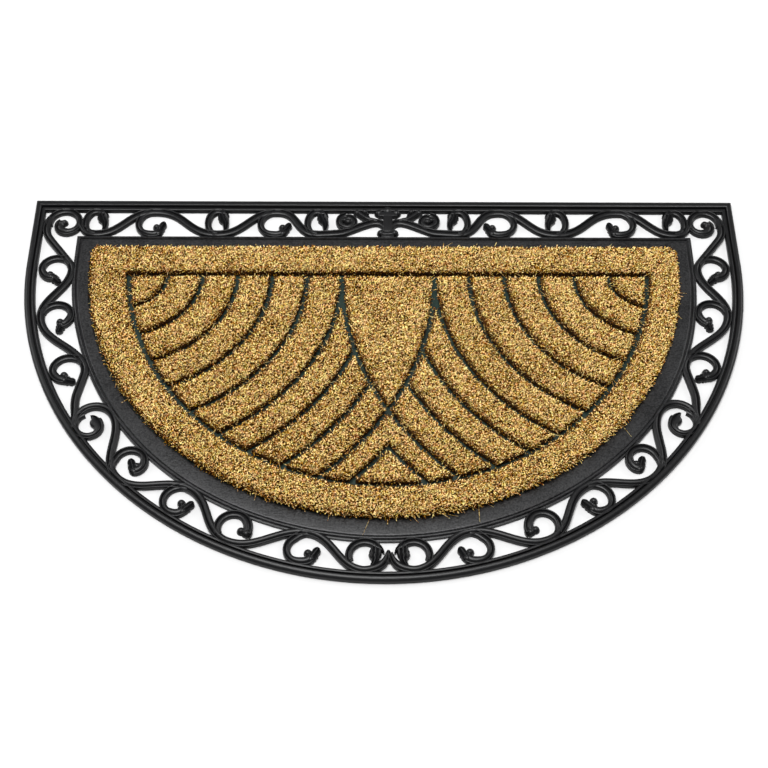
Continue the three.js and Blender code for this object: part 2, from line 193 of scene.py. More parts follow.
class DoormatRubber(bpy.types.PropertyGroup):
    scroll_height: bpy.props.FloatProperty(
        name="Scroll height", description="Height of the scroll ribbons", default=5.4 * MM, unit="LENGTH")
    stem_width: bpy.props.FloatProperty(
        name="Stem width", description="Width of the long stems", default=8.4 * MM, unit="LENGTH")
    curl_width: bpy.props.FloatProperty(
        name="Curl width", description="Width of the curls", default=7.3 * MM, unit="LENGTH")
    bud_radius: bpy.props.FloatProperty(
        name="Bud radius", description="Radius of the round buds", default=4.3 * MM, unit="LENGTH")
    colour: bpy.props.StringProperty(
        name="Rubber", description="sRGB colour of the black rubber", default="#050506")
    tray_colour: bpy.props.StringProperty(
        name="Backing", description="sRGB colour of the backing under the pile", default="#121c19")


class DoormatCoir(bpy.types.PropertyGroup):
    density: bpy.props.FloatProperty(
        name="Fibres per square millimetre", description="Fibre tufts drawn on the pile", default=1.0, min=0.1)
    fibre_width: bpy.props.FloatProperty(
        name="Fibre width", description="Width of a tuft at its root", default=1.15 * MM, unit="LENGTH")
    fibre_drop: bpy.props.FloatProperty(
        name="Fibre depth", description="How far below the tips a tuft starts", default=5.0 * MM, unit="LENGTH")
    lean: bpy.props.FloatProperty(
        name="Lean", description="Usual sideways reach of a tip", default=2.3 * MM, unit="LENGTH")
    combed_x: bpy.props.FloatProperty(
        name="Combed across", description="Usual lean of all tips to the right", default=1.3 * MM, unit="LENGTH")
    combed_y: bpy.props.FloatProperty(
        name="Combed forward", description="Usual lean of all tips to the curved edge", default=1.9 * MM,
        unit="LENGTH")
    pad_top: bpy.props.FloatProperty(
        name="Pad height", description="Height of the solid pad below the tips", default=9.0 * MM, unit="LENGTH")
    dark: bpy.props.StringProperty(
        name="Dark fibre", description="sRGB colour of the darkest fibres", default="#2a1804")
    middle: bpy.props.StringProperty(
        name="Middle fibre", description="sRGB colour of most fibres", default="#d9a847")
    pale: bpy.props.StringProperty(
        name="Pale fibre", description="sRGB colour of the palest fibres", default="#ffeaa8")


class DoormatStage(bpy.types.PropertyGroup):
    elevation: bpy.props.FloatProperty(
        name="Elevation", description="Height angle of the camera", default=math.radians(54.973), subtype="ANGLE")
    turn: bpy.props.FloatProperty(
        name="Turn", description="Turn of the camera round the mat", default=math.radians(-0.4), subtype="ANGLE")
    roll: bpy.props.FloatProperty(
        name="Roll", description="Roll of the camera", default=math.radians(0.48), subtype="ANGLE")
    distance: bpy.props.FloatProperty(
        name="Distance", description="Distance of the camera", default=1.6456, unit="LENGTH")
    lens: bpy.props.FloatProperty(name="Lens", description="Focal length in millimetres", default=75.83)
    world_light: bpy.props.FloatProperty(name="World light", description="Strength of the white room", default=0.36)
    top_light: bpy.props.FloatProperty(name="Top light", description="Power of the soft top light", default=160.0)
    side_light: bpy.props.FloatProperty(name="Side lights", description="Power of each soft side light", default=22.0)


def linear(colour):
    """A linear RGBA tuple of an sRGB hex colour."""
    channels = [int(colour[i:i + 2], 16) / 255 for i in (1, 3, 5)]
    return tuple(c / 12.92 if c <= 0.04045 else ((c + 0.055) / 1.055) ** 2.4 for c in channels) + (1.0,)


def add_node(tree, kind, inputs=None, **settings):
    """Adds a node with its settings, input values and links."""
    node = tree.nodes.new(kind)
    for name, value in settings.items():
        setattr(node, name, value)
    for name, value in (inputs or {}).items():
        socket = node.inputs[name]
        if isinstance(value, bpy.types.NodeSocket):
            tree.links.new(value, socket)
        else:
            socket.default_value = value
    return node


def new_material(name):
    """An empty node material, with its shader wired to the output."""
    material = bpy.data.materials.new(name)
    material.use_nodes = True
    tree = material.node_tree
    tree.nodes.clear()
    shader = add_node(tree, "ShaderNodeBsdfPrincipled")
    add_node(tree, "ShaderNodeOutputMaterial", {"Surface": shader.outputs["BSDF"]})
    return material, tree, shader


def set_ramp(node, stops):
    """Gives a colour ramp its stops as (position, linear colour)."""
    elements = node.color_ramp.elements
    while len(elements) < len(stops):
        elements.new(0.5)
    for element, (position, colour) in zip(elements, stops):
        element.position = position
        element.color = colour


def moulded_rubber(name, colour, scuff, grain_mm=0.9, relief=0.35):
    """SBR rubber, compression moulded: black and satin, with a fine grain from the mould and paler patches spread at
    random."""
    material, tree, shader = new_material(name)
    place = add_node(tree, "ShaderNodeTexCoord").outputs["Object"]
    grain = add_node(tree, "ShaderNodeTexNoise", {"Vector": place, "Scale": 1 / (grain_mm * MM), "Detail": 2.0})
    cloud = add_node(tree, "ShaderNodeTexNoise", {"Vector": place, "Scale": 1 / (35 * MM), "Detail": 4.0})
    mixed = add_node(tree, "ShaderNodeMath", {0: cloud.outputs["Fac"], 1: 0.4, 2: grain.outputs["Fac"]},
                     operation="MULTIPLY_ADD")
    tint = add_node(tree, "ShaderNodeValToRGB", {"Fac": mixed.outputs[0]})
    set_ramp(tint, [(0.5, linear(colour)), (0.86, linear(scuff))])
    tree.links.new(tint.outputs["Color"], shader.inputs["Base Color"])
    rough = add_node(tree, "ShaderNodeMapRange", {"Value": grain.outputs["Fac"], "To Min": 0.27, "To Max": 0.4})
    tree.links.new(rough.outputs["Result"], shader.inputs["Roughness"])
    bump = add_node(tree, "ShaderNodeBump", {"Height": grain.outputs["Fac"], "Strength": relief,
                                             "Distance": 0.22 * MM})
    tree.links.new(bump.outputs["Normal"], shader.inputs["Normal"])
    shader.inputs["Specular IOR Level"].default_value = 0.24
    return material


def coir_ramp(tree, value, coir):
    """The colours of coir, from shaded brown through gold to straw."""
    ramp = add_node(tree, "ShaderNodeValToRGB", {"Fac": value})
    dark, middle, pale = (linear(c) for c in (coir.dark, coir.middle, coir.pale))
    set_ramp(ramp, [(0.0, dark), (0.28, linear("#8a5a17")), (0.6, middle), (1.0, pale)])
    return ramp


def coir_fibre(coir):
    """Coir, cut from coconut husk and left unbleached: stiff golden bristles, matt, each of its own tone, and darker
    towards its root with dust and painted shade."""
    material, tree, shader = new_material("Cut coir fibre")
    tone = add_node(tree, "ShaderNodeAttribute", attribute_name="tone").outputs["Fac"]
    place = add_node(tree, "ShaderNodeTexCoord").outputs["Object"]
    patch = add_node(tree, "ShaderNodeTexNoise", {"Vector": place, "Scale": 1 / (24 * MM), "Detail": 4.0})
    shade = add_node(tree, "ShaderNodeMapRange", {"Value": patch.outputs["Fac"], "From Min": 0.3, "From Max": 0.7,
                                                  "To Min": -0.14, "To Max": 0.14})
    tuft = add_node(tree, "ShaderNodeTexNoise", {"Vector": place, "Scale": 1 / (1.7 * MM), "Detail": 0.0})
    lift = add_node(tree, "ShaderNodeMapRange", {"Value": tuft.outputs["Fac"], "From Min": 0.3, "From Max": 0.7,
                                                 "To Min": -0.75, "To Max": 0.75})
    raised = add_node(tree, "ShaderNodeMath", {0: shade.outputs["Result"], 1: lift.outputs["Result"]},
                      operation="ADD")
    summed = add_node(tree, "ShaderNodeMath", {0: tone, 1: raised.outputs[0]}, operation="ADD")
    ramp = coir_ramp(tree, summed.outputs[0], coir)
    blush = add_node(tree, "ShaderNodeTexNoise", {"Vector": place, "Scale": 1 / (4.2 * MM), "Detail": 2.0})
    hue = add_node(tree, "ShaderNodeMapRange", {"Value": blush.outputs["Fac"], "From Min": 0.3, "From Max": 0.7,
                                                "To Min": 0.463, "To Max": 0.523})
    dyed = add_node(tree, "ShaderNodeHueSaturation", {"Hue": hue.outputs["Result"], "Saturation": 1.06,
                                                      "Color": ramp.outputs["Color"]})
    tree.links.new(dyed.outputs["Color"], shader.inputs["Base Color"])
    shader.inputs["Roughness"].default_value = 0.8
    shader.inputs["Specular IOR Level"].default_value = 0.08
    return material


def coir_pad(coir):
    """The depth of the pile between the tips: packed coir bristles, painted darker than the tips for the shade that
    falls between them.
    """
    material, tree, shader = new_material("Packed coir pile")
    place = add_node(tree, "ShaderNodeTexCoord").outputs["Object"]
    grain = add_node(tree, "ShaderNodeTexNoise", {"Vector": place, "Scale": 1 / (1.2 * MM), "Detail": 4.0,
                                                  "Roughness": 0.7})
    # Painted shade: the packed coir is darker than the fibre tips.
    tone = add_node(tree, "ShaderNodeMapRange", {"Value": grain.outputs["Fac"], "From Min": 0.3, "From Max": 0.7,
                                                 "To Min": -0.3, "To Max": 0.25})
    ramp = coir_ramp(tree, tone.outputs["Result"], coir)
    tree.links.new(ramp.outputs["Color"], shader.inputs["Base Color"])
    bump = add_node(tree, "ShaderNodeBump", {"Height": grain.outputs["Fac"], "Strength": 0.9, "Distance": 1.0 * MM})
    tree.links.new(bump.outputs["Normal"], shader.inputs["Normal"])
    shader.inputs["Roughness"].default_value = 0.9
    shader.inputs["Specular IOR Level"].default_value = 0.2
    return material


def outline_stations(arc_steps, corner_steps, straight):
    """Places round the mat's outline, as functions of (distance in, corner radius) that give x and y. Along the
    straight edge the distance counts straight times."""
    def on_arc(angle):
        reach = FLANGE_REACH * smoothstep(0.13 * math.cos(angle) - math.sin(angle), 0.12, 0.78)

        def place(inset, corner):
            away = RADIUS - inset + (reach if SCROLL_BAND < inset < FLANGE_TURN else 0.0)
            return away * math.cos(angle), CENTRE_Y + away * math.sin(angle)
        return place

    def at_corner(hand, angle):
        def place(inset, corner):
            x = RADIUS - inset - corner + corner * math.cos(angle)
            return hand * x, BACK - inset * straight - corner + corner * math.sin(angle)
        return place

    stations = [on_arc(math.pi + math.pi * i / arc_steps) for i in range(arc_steps + 1)]
    quarter = [math.pi / 2 * i / corner_steps for i in range(corner_steps + 1)]
    stations += [at_corner(1, angle) for angle in quarter]
    stations += [at_corner(-1, angle) for angle in reversed(quarter)]
    return stations


def sweep_outline(section, arc_steps=120, corner_steps=6, corner=0.0, straight=1.0):
    """Extrudes a section all the way round the mat, mitred at its corners, and bridges its two ends. Returns the
    bmesh."""
    stations = outline_stations(arc_steps, corner_steps, straight)

    def places(station):
        for inset, height in section:
            x, y = station(inset, corner if inset > SHARP_INSET else 0.0)
            yield Vector((x, y, height)) * MM

    bm = bmesh.new()
    first = [bm.verts.new(place) for place in places(stations[0])]
    edges = [bm.edges.new(pair) for pair in zip(first, first[1:])]
    start = list(edges)
    row = first
    for station in stations[1:]:
        made = bmesh.ops.extrude_edge_only(bm, edges=edges)["geom"]
        fresh = {g for g in made if isinstance(g, bmesh.types.BMVert)}
        row = [next(e.other_vert(v) for e in v.link_edges if e.other_vert(v) in fresh) for v in row]
        for vert, place in zip(row, places(station)):
            vert.co = place
        edges = [bm.edges.get(pair) for pair in zip(row, row[1:])]
    bmesh.ops.bridge_loops(bm, edges=start + edges)
    bmesh.ops.remove_doubles(bm, verts=bm.verts, dist=0.00001)
    return bm


def close_loops(bm):
    """Fills each open loop of edges with one face."""
    rims = [e for e in bm.edges if e.is_boundary]
    bmesh.ops.holes_fill(bm, edges=rims, sides=0)


def finish_mesh(bm, name, material, smooth_angle=40.0):
    """Turns a bmesh into a finished object, with its faces outwards and smooth below an angle."""
    bmesh.ops.recalc_face_normals(bm, faces=bm.faces)
    mesh = bpy.data.meshes.new(name)
    bm.to_mesh(mesh)
    bm.free()
    mesh.shade_smooth()
    mesh.set_sharp_from_angle(angle=math.radians(smooth_angle))
    mesh.materials.append(material)
    piece = bpy.data.objects.new(name, mesh)
    bpy.context.scene.collection.objects.link(piece)
    return piece


def from_back(x, down):
    return Vector((x, BACK - down))


def around(centre, degrees, wide, tall=None):
    angle = math.radians(degrees)
    return Vector((centre.x + wide * math.cos(angle), centre.y + (tall or wide) * math.sin(angle)))


def smoothstep(value, low, high):
    share = min(max((value - low) / (high - low), 0.0), 1.0)
    return share * share * (3 - 2 * share)


def curl_line(name, width, step=7.0):
    """Centre line of a curl, as (point, width)."""
    row = CURLS[name]
    centre = from_back(row["x"], row["down"])
    count = math.ceil(abs(row["sweep"]) / step)
    line = []
    if name not in FREE_CURLS:
        for share in (1.0, 0.8, 0.6, 0.4, 0.2):
            angle = row["start"] - math.copysign(CURL_LEAD * share, row["sweep"])
            out = row.get("out", 0.0) * share
            line.append((around(centre, angle, row["wide"] + out, row["tall"] + out), width))
    for i in range(count + 1):
        share = i / count
        if "tuck" in row:
            if share > 0.7:
                break
            close, swell = smoothstep(share, 0.55, 0.7), 0.0
        else:
            close, swell = (0.0 if name in TIPS else smoothstep(share, 0.8, 1.0)), row["swell"]
        wide = width + swell * smoothstep(share, 0.5, 0.78) * (1 - close) - (width - 1.2) * close
        kept = 1 - (1 - row["end"]) * share ** 3
        drawn_in = (wide - width) / 2
        angle = row["start"] + row["sweep"] * share
        line.append((around(centre, angle, row["wide"] * kept - drawn_in, row["tall"] * kept - drawn_in), wide))
    return line


def leaf_line(root, point, half):
    """Centre line of a leaf, as (point, width), widest near its root and closing to a tip."""
    profile = [(0, 0.9), (0.14, 1.0), (0.26, 0.86), (0.4, 1.0), (0.52, 0.74), (0.66, 0.82), (0.8, 0.78), (0.9, 0.62),
               (0.97, 0.4), (1, 0.2)]
    return [(root.lerp(point, share), 2 * half * swell) for share, swell in profile]


def drooping_leaf(name, wide):
    """Centre line of the broad leaf that a curl ends in: it swells, waves and closes to a point."""
    row = CURLS[name]
    centre = from_back(row["x"], row["down"])
    profile = [0.5, 0.66, 0.86, 1.0, 0.9, 0.98, 0.8, 0.62, 0.56, 0.42, 0.3, 0.12]
    line = []
    for i, swell in enumerate(profile):
        share = 0.52 + 0.46 * i / (len(profile) - 1)
        kept = 1 - row["tuck"] * smoothstep(share, 0.55, 0.8)
        inward = (wide * swell - wide / 2) / 2
        angle = row["start"] + row["sweep"] * share
        line.append((around(centre, angle, row["wide"] * kept - inward, row["tall"] * kept - inward), wide * swell))
    return line


def outwards(place):
    """Direction from a place in the band straight out to the mat's outline."""
    return Vector((0, 1)) if on_straight(place) else Vector((place.x, place.y - CENTRE_Y)).normalized()


def on_straight(place):
    """Whether a place in the band lies along the straight edge."""
    return place.y > BACK - STRAIGHT_BAND


def stem_line(stops, width, step=8.0):
    """A stem as a belt round the circles that it passes: it swings from the crest of one curl to the crest of
    the next, and elsewhere runs round the circles and straight between them."""
    circles = []
    for stop in stops:
        radius, side = (stop[2], stop[3]) if len(stop) == 4 else (0.0, "rail")
        circles.append((from_back(stop[0], stop[1]), radius, 1 if side == "rail" else -1))
    arrives, leaves, swings = [None], [], []
    for (centre, radius, hand), (centre_2, radius_2, hand_2) in zip(circles, circles[1:]):
        run = centre_2 - centre
        swings.append(0 < radius < WIDEST_CURL and radius_2 > 0 and on_straight(centre) == on_straight(centre_2))
        if swings[-1]:
            ways = [outwards(centre).orthogonal(), outwards(centre_2).orthogonal()]
            leaves.append(math.atan2(ways[0].y, ways[0].x))
            arrives.append(math.atan2(ways[1].y, ways[1].x))
        else:
            spread = hand_2 * radius_2 - hand * radius
            leaves.append(math.atan2(run.y, run.x) - math.asin(spread / run.length))
            arrives.append(leaves[-1])
    arrives[0] = leaves[0]
    leaves.append(arrives[-1])
    points = []
    for i, (centre, radius, hand) in enumerate(circles):
        turn = (hand * (leaves[i] - arrives[i])) % (2 * math.pi) if radius > 0 else 0.0
        count = math.ceil(math.degrees(turn) / step)
        for k in range(count + 1):
            heading = arrives[i] + (hand * turn * k / count if count else 0.0)
            points.append(centre + Vector((math.sin(heading), -math.cos(heading))) * (hand * radius))
        if i < len(swings) and swings[i]:
            ends = circles[i:i + 2]
            crests = [c + outwards(c) * (h * r) for c, r, h in ends]
            share = SWING_STRAIGHT if on_straight(centre) else SWING_ROUND
            handle = share * (crests[1] - crests[0]).length
            reach = [outwards(c).orthogonal() * handle for c, _, _ in ends]
            points += interpolate_bezier(crests[0], crests[0] + reach[0], crests[1] - reach[1], crests[1], 24)[1:-1]
    line = spaced(points, 3.0, 5)
    last = len(line) - 1
    return [(point, width * (0.6 + 0.4 * smoothstep(min(i, (last - i) / 2), 0, 3))) for i, point in enumerate(line)]


def spaced(points, most, eased=2):
    """The same line with no stretch longer than most, and its corners eased."""
    fine = [points[0]]
    for a, b in zip(points, points[1:]):
        count = max(1, math.ceil((b - a).length / most))
        fine += [a.lerp(b, k / count) for k in range(1, count + 1)]
    for _ in range(eased):
        fine = [fine[0]] + [(a + b * 2 + c) / 4 for a, b, c in zip(fine, fine[1:], fine[2:])] + [fine[-1]]
    return fine


def settle(point, hand):
    """Where a point of the left half's drawing lies in the left half, for hand 1, or in the right one."""
    away = abs(point.x) / RADIUS
    if hand > 0:
        return Vector((point.x + SHIFT * (1 - away), point.y))
    low = smoothstep(BACK - point.y, 0, SLIDE_FROM)
    back = Vector((CENTRE_Y - point.y, -point.x)).normalized()
    return Vector((-point.x + RIGHT_LEAN * (1 - away ** 3) * (1 - low), point.y)) + back * RIGHT_SLIDE * low


def ribbon(line, height, hand, beaded=1, profile=RIBBON_SECTION):
    """A raised ribbon along a line. Its beaded edge is on the left of the line's own direction for beaded 1."""
    spots = [(settle(point, hand), width) for point, width in line]
    bm = bmesh.new()
    row, edges = None, None
    count = len(spots)
    for i, (point, width) in enumerate(spots):
        before, after = spots[max(i - 1, 0)][0], spots[min(i + 1, count - 1)][0]
        side = Vector((before.y - after.y, after.x - before.x)).normalized()
        half = width / 2 * beaded * hand
        section = [(across * half, BASE + (height - BASE) * z) for across, z in profile]
        places = [Vector((point.x + side.x * u, point.y + side.y * u, z)) * MM for u, z in section]
        if row is None:
            row = [bm.verts.new(place) for place in places]
            edges = [bm.edges.new(pair) for pair in zip(row, row[1:] + row[:1])]
            bmesh.ops.contextual_create(bm, geom=row)
            continue
        made = bmesh.ops.extrude_edge_only(bm, edges=edges)["geom"]
        fresh = {g for g in made if isinstance(g, bmesh.types.BMVert)}
        row = [next(e.other_vert(v) for e in v.link_edges if e.other_vert(v) in fresh) for v in row]
        for vert, place in zip(row, places):
            vert.co = place
        edges = [bm.edges.get(pair) for pair in zip(row, row[1:] + row[:1])]
    bmesh.ops.contextual_create(bm, geom=row)
    bmesh.ops.recalc_face_normals(bm, faces=bm.faces)
    return bm


def dome(centre, radius, height, hand):
    """A round bud: half a ball, flattened to its height and closed underneath."""
    middle = settle(centre, hand)
    place = Matrix.Translation(Vector((middle.x, middle.y, BASE)) * MM)
    size = Matrix.Diagonal((radius * MM, radius * MM, height * MM, 1.0))
    bm = bmesh.new()
    bmesh.ops.create_uvsphere(bm, u_segments=20, v_segments=12, radius=1.0, matrix=place @ size)
    everything = list(bm.verts) + list(bm.edges) + list(bm.faces)
    bmesh.ops.bisect_plane(bm, geom=everything, plane_co=(0, 0, BASE * MM), plane_no=(0, 0, 1), clear_inner=True)
    bmesh.ops.holes_fill(bm, edges=[e for e in bm.edges if e.is_boundary], sides=0)
    return bm


def joined(parts):
    """One bmesh out of several."""
    whole = bmesh.new()
    scratch = bpy.data.meshes.new("scratch")
    for part in parts:
        part.to_mesh(scratch)
        whole.from_mesh(scratch)
        part.free()
    bpy.data.meshes.remove(scratch)
    return whole


def top_triangles(node):
    """Corners of a pad's top triangles, as an array in metres."""
    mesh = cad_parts[node].data
    mesh.calc_loop_triangles()
    co = np.array([v.co[:] for v in mesh.vertices])
    tris = co[np.array([t.vertices[:] for t in mesh.loop_triangles])]
    top = tris[:, :, 2].min(axis=1) > PILE_TOP * MM - 1e-5
    return tris[top]


def rim_points(triangles, step):
    """Points along the rim of a pad's top, with the outward direction at each."""
    keys = np.round(triangles[:, :, :2] * 1e6).astype(np.int64)
    seen = {}
    for tri, key in zip(triangles, keys):
        for a, b in ((0, 1), (1, 2), (2, 0)):
            pair = (tuple(key[a]), tuple(key[b]))
            if (pair[1], pair[0]) in seen:
                del seen[(pair[1], pair[0])]
            else:
                seen[pair] = (tri[a], tri[b])
    points, outward = [], []
    for a, b in seen.values():
        run = b - a
        length = math.hypot(run[0], run[1])
        if length < 1e-7:
            continue
        count = max(1, math.ceil(length / step))
        for k in range(count):
            points.append(a + run * ((k + 0.5) / count))
            outward.append((run[1] / length, -run[0] / length))
    return np.array(points), np.array(outward)


def scatter(triangles, count, rng):
    """Points spread evenly over triangles."""
    a, b, c = triangles[:, 0], triangles[:, 1], triangles[:, 2]
    area = np.abs(np.cross(b[:, :2] - a[:, :2], c[:, :2] - a[:, :2])) / 2
    chosen = rng.choice(len(triangles), size=count, p=area / area.sum())
    u, v = rng.random(count), rng.random(count)
    flip = u + v > 1
    u[flip], v[flip] = 1 - u[flip], 1 - v[flip]
    return a[chosen] + (b - a)[chosen] * u[:, None] + (c - a)[chosen] * v[:, None]


def inset_of(points):
    """Distance of points in from the mat's outline, in metres."""
    below = np.minimum(points[:, 1] - CENTRE_Y * MM, 0)
    return np.minimum(BACK * MM - points[:, 1], RADIUS * MM - np.hypot(points[:, 0], below))


def top_area(node):
    """Area of a pad's top, in square metres."""
    triangles = top_triangles(node)
    a, b, c = triangles[:, 0, :2], triangles[:, 1, :2], triangles[:, 2, :2]
    return float(np.abs(np.cross(b - a, c - a)).sum() / 2)


def flat_size(node):
    """Width and length of a pad: of its band laid out straight, or of its box."""
    if node in BANDS:
        wide = BANDS[node] * MM
        return wide, top_area(node) / wide
    low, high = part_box(node)
    return high.x - low.x, high.y - low.y


def wall_fibres(rim, outward, coir, rng):
    """Short dark fibres that stand out of a pad's walls: roots, tips and tones. Their darkness is partly their own
    dark roots and partly painted shade on the walls, with painted shadow added at the curved front, under the pile's
    overhang. They reach further out where the pile hangs over the flange at the curved front."""
    chosen = rng.random((len(rim), 1)) < 0.9
    rim, outward = rim[chosen[:, 0]], outward[chosen[:, 0]]
    count = len(rim)
    front = np.where(inset_of(rim) < OUTER_RIM * MM, np.clip(-outward[:, 1], 0, 1), 0.0)
    root = rim.copy()
    root[:, :2] -= outward * 1.0 * MM
    root[:, 2] = rng.uniform(4.6, 8.0, count) * MM
    tip = rim.copy()
    reach = (rng.uniform(0.2, 1.7, count) + front * rng.uniform(0.6, 2.8, count)) * MM
    tip[:, :2] += outward * reach[:, None] + rng.normal(0, 1.2 * MM, (count, 2))
    tip[:, 2] = root[:, 2] + rng.uniform(-1.0, 3.5, count) * MM
    # Dark roots and painted shade on the walls, plus painted shadow at the front under the overhang.
    return root, tip, rng.uniform(-0.8, -0.5, count) - front * 0.3


def strips(name, points, tones, material):
    """Joins strips of four corners each into one object. Every strip is closed by the four triangles between them."""
    count = len(points)
    faces = np.array([(0, 1, 3), (1, 2, 3), (2, 0, 3), (0, 2, 1)])
    corners = faces[None] + 4 * np.arange(count)[:, None, None]
    edges = points[:, 1:] - points[:, :1]
    inside_out = np.einsum("ij,ij->i", np.cross(edges[:, 0], edges[:, 2]), edges[:, 1]) > 0
    corners[inside_out] = corners[inside_out][:, :, ::-1]
    corners = corners.reshape(-1)
    mesh = bpy.data.meshes.new(name)
    mesh.vertices.add(count * 4)
    mesh.vertices.foreach_set("co", points.reshape(-1))
    mesh.loops.add(len(corners))
    mesh.loops.foreach_set("vertex_index", corners)
    mesh.polygons.add(count * 4)
    mesh.polygons.foreach_set("loop_start", np.arange(0, len(corners), 3))
    mesh.polygons.foreach_set("loop_total", np.full(count * 4, 3))
    mesh.update(calc_edges=True)
    mesh.attributes.new("tone", "FLOAT", "POINT").data.foreach_set("value", np.clip(tones, 0, 1).reshape(-1))
    mesh.shade_smooth()
    mesh.materials.append(material)
    piece = bpy.data.objects.new(name, mesh)
    bpy.context.scene.collection.objects.link(piece)
    return piece


def fibre_field(name, nodes, material, coir, seed, keep=None):
    """A field of fibres on some pads as one mesh: each a closed, leaning and twisted strip of four triangles."""
    rng = np.random.default_rng(seed)
    roots, tips, pale_strays_and_painted_shade, loose = [], [], [], []
    for node in nodes:
        triangles = top_triangles(node)
        count = int(top_area(node) / MM ** 2 * coir.density)
        base = scatter(triangles, count, rng)
        if keep is not None:
            base = base[base[:, 0] * keep >= 0]
            count = len(base)
        rim, outward = rim_points(triangles, 1.5 * MM)
        tree = KDTree(len(rim))
        for i, point in enumerate(rim):
            tree.insert((point[0], point[1], 0.0), i)
        tree.balance()
        near = [tree.find((p[0], p[1], 0.0)) for p in base]
        gap = np.array([n[2] for n in near])
        push = outward[[n[1] for n in near]]
        edge = np.clip(1 - gap / (RIM_WIDTH * MM), 0, 1)[:, None]
        outer = (inset_of(base) < OUTER_RIM * MM)[:, None]
        lean = rng.normal(0, coir.lean, (count, 2)) + np.array([coir.combed_x, -coir.combed_y])
        stray = rng.random((count, 1)) < STRAY_SHARE
        lean = np.where(stray, lean * 3.5, lean)
        out = np.clip((lean * push).sum(axis=1), 0, None)[:, None]
        front, left = np.clip(-push[:, 1:], 0, 1), np.clip(-push[:, :1], 0, 1)
        trimmed = np.where(outer, 0.7 * (1 - front), np.where(stray, 0.0, 0.85))
        lean -= push * out * np.sqrt(edge) * trimmed
        lean += np.where(outer, push * edge * (front * 3.2 - left * 1.5) * MM * rng.random((count, 1)), 0.0)
        tip = base.copy()
        tip[:, :2] += lean
        sunk = np.where(outer[:, 0], 1.2, 3.2) * MM * edge[:, 0] ** 2
        tip[:, 2] = PILE_TOP * MM + rng.normal(0, 0.5 * MM, count) - sunk
        root = base.copy()
        root[:, 2] = tip[:, 2] - coir.fibre_drop
        root[:, :2] -= push * edge * 0.4 * MM
        roots.append(root)
        tips.append(tip)
        # Painted shade at the rims: beside the grooves, along the outer rim, a little more at the front and most at
        # the left.
        rim_painted_shade = np.where(outer, 0.12 + 0.12 * front + 0.6 * left, 0.42) * edge
        pale_strays_and_painted_shade.append((np.where(stray, 0.8, 0.0) - rim_painted_shade)[:, 0])
        if keep is not None:
            rim, outward = rim[rim[:, 0] * keep >= 0], outward[rim[:, 0] * keep >= 0]
        for part, more in zip((roots, tips, pale_strays_and_painted_shade), wall_fibres(rim, outward, coir, rng)):
            part.append(more)
        loose += [stray[:, 0], np.zeros(len(roots[-1]), bool)]
    root, tip = np.concatenate(roots), np.concatenate(tips)
    count = len(root)
    across = np.arctan2(tip[:, 1] - root[:, 1], tip[:, 0] - root[:, 0]) + math.pi / 2
    turn = rng.uniform(0.5, 1.1, count) * rng.choice([-1, 1], count)
    width = coir.fibre_width * rng.uniform(0.7, 1.25, count) / 2 * np.where(np.concatenate(loose), 0.6, 1.0)
    points = np.empty((count, 4, 3))
    for k, (end, angle, half) in enumerate([(root, across, -width), (root, across, width),
                                            (tip, across + turn, -width * 0.8), (tip, across + turn, width * 0.8)]):
        points[:, k] = end
        points[:, k, 0] += half * np.cos(angle)
        points[:, k, 1] += half * np.sin(angle)
    tone = np.clip(rng.normal(TONE, TONE_SPREAD, count) + np.concatenate(pale_strays_and_painted_shade), 0.05, 1.0)
    tones = np.repeat(tone[:, None], 4, axis=1)
    # Painted shade and dust: each fibre's two root corners are darker than its tip.
    tones[:, :2] -= ROOT_DUST_AND_PAINTED_SHADE
    return strips(name, points, tones, material)


class DOORMAT_OT_rail(bpy.types.Operator):
    """Outer rail of the rubber frame, with its wide and its narrow bead"""
    bl_idname = "doormat.rail"
    bl_label = "Make rail"

    def execute(self, context):
        rubber = context.scene.doormat_rubber
        material = moulded_rubber("Moulded black rubber", rubber.colour, "#141415")
        bm = sweep_outline(RAIL_SECTION + RAIL_SECTION[:1], straight=STRAIGHT_RAIL)
        piece = finish_mesh(bm, "rubber_rail", material)
        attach(piece, "root")
        return {"FINISHED"}


class DOORMAT_OT_tray(bpy.types.Operator):
    """Flange with its bead, and the backing sheet under the pile"""
    bl_idname = "doormat.tray"
    bl_label = "Make tray"

    def execute(self, context):
        rubber = context.scene.doormat_rubber
        material = moulded_rubber("Grained rubber flange", "#060607", "#29292a", grain_mm=1.7, relief=1.0)
        floor = moulded_rubber("Rubber backing", rubber.tray_colour, "#22352f")
        bm = sweep_outline(TRAY_SECTION, corner=PILE_CORNER)
        close_loops(bm)
        piece = finish_mesh(bm, "rubber_tray", material)
        piece.data.materials.append(floor)
        for face in piece.data.polygons:
            if len(face.vertices) > 20 and face.normal.z > 0.5:
                face.material_index = 1
        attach(piece, "root")
        return {"FINISHED"}


